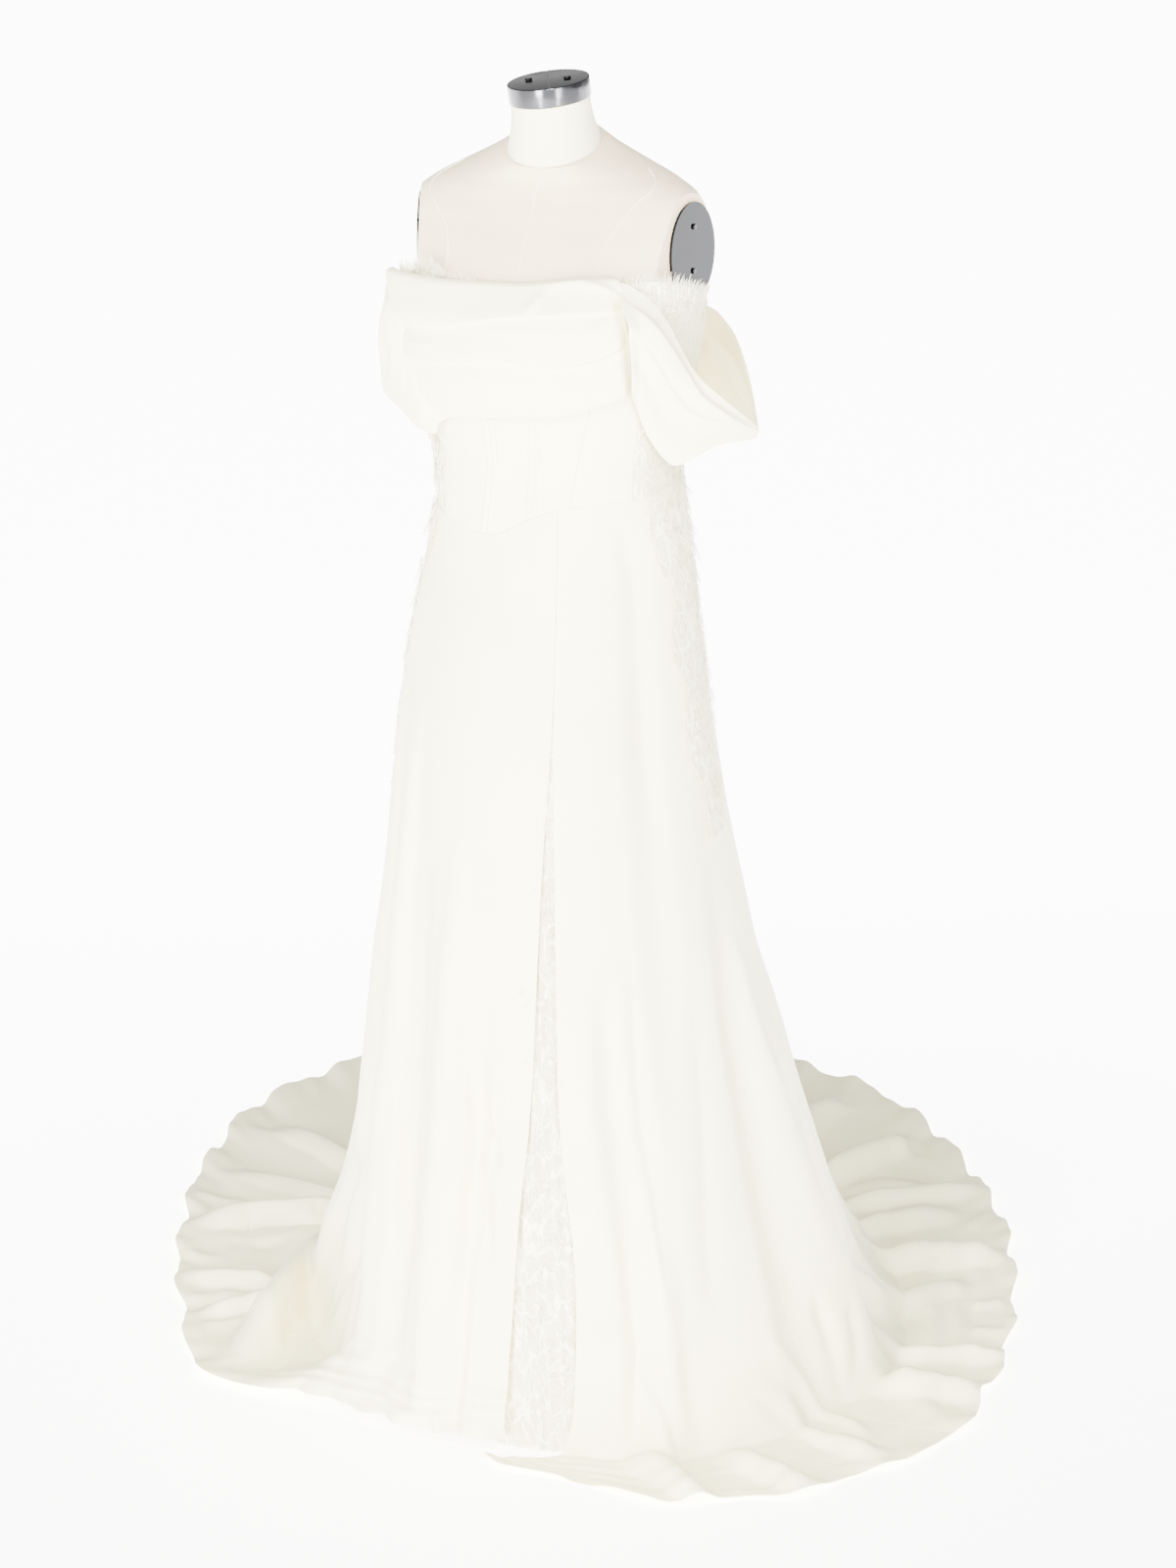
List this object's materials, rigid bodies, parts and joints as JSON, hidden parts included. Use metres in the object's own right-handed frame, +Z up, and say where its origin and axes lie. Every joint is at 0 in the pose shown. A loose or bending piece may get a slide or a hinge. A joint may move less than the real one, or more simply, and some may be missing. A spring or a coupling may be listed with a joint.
{
  "type": "wedding dress on a limbless dress form",
  "caption": "Off-shoulder wedding dress with a draped bust band, boned bodice, slit skirt and a long train, standing on a limbless dress form.",
  "frame": {"origin": "on the floor, at the middle of the round base's underside, under the pole", "axes": "+Z up; the wearer faces -Y; +X is the wearer's left; the train runs to +Y"},
  "size_m": [1.2893, 1.5238, 1.6539],
  "materials": {
    "ivory_satin": "matt ivory crepe satin",
    "ivory_lace": "ivory floral lace on net",
    "form_linen": "plain woven linen, stretched",
    "neck_linen": "plain woven linen, stretched",
    "brushed_steel": "fine brushed",
    "polished_steel": "polished",
    "base_paint": "satin black paint, hidden under the skirt"
  },
  "bodies": {
    "root": {"bodice_back_left": "ivory_satin", "bodice_back_right": "ivory_satin", "bodice_centre_front_left": "ivory_satin", "bodice_centre_front_right": "ivory_satin", "bodice_side_front_left": "ivory_satin", "bodice_side_front_right": "ivory_satin", "boning_centre_front": "ivory_satin", "boning_right_princess": "ivory_satin", "cowl_band": "ivory_satin", "swag_left": "ivory_satin", "swag_right": "ivory_satin", "skirt_back_left": "ivory_satin", "skirt_back_right": "ivory_satin", "skirt_front_left": "ivory_satin", "skirt_front_right": "ivory_satin", "lace_side_left": "ivory_lace", "lace_side_right": "ivory_lace", "lace_trim_left": "ivory_lace", "lace_trim_right": "ivory_lace", "hip_lace_left": "ivory_lace", "hip_lace_right": "ivory_lace", "slit_lace_inset": "ivory_lace", "form_torso": "form_linen", "form_neck": "neck_linen", "form_neck_cap": "brushed_steel", "form_cap_screw_1": "polished_steel", "form_cap_screw_2": "polished_steel", "form_arm_plate_left": "polished_steel", "form_arm_plate_right": "polished_steel", "form_rivet_left_1": "polished_steel", "form_rivet_left_2": "polished_steel", "form_rivet_right_1": "polished_steel", "form_rivet_right_2": "polished_steel", "form_pole": "brushed_steel", "form_base": "base_paint"}
  },
  "joints": []
}
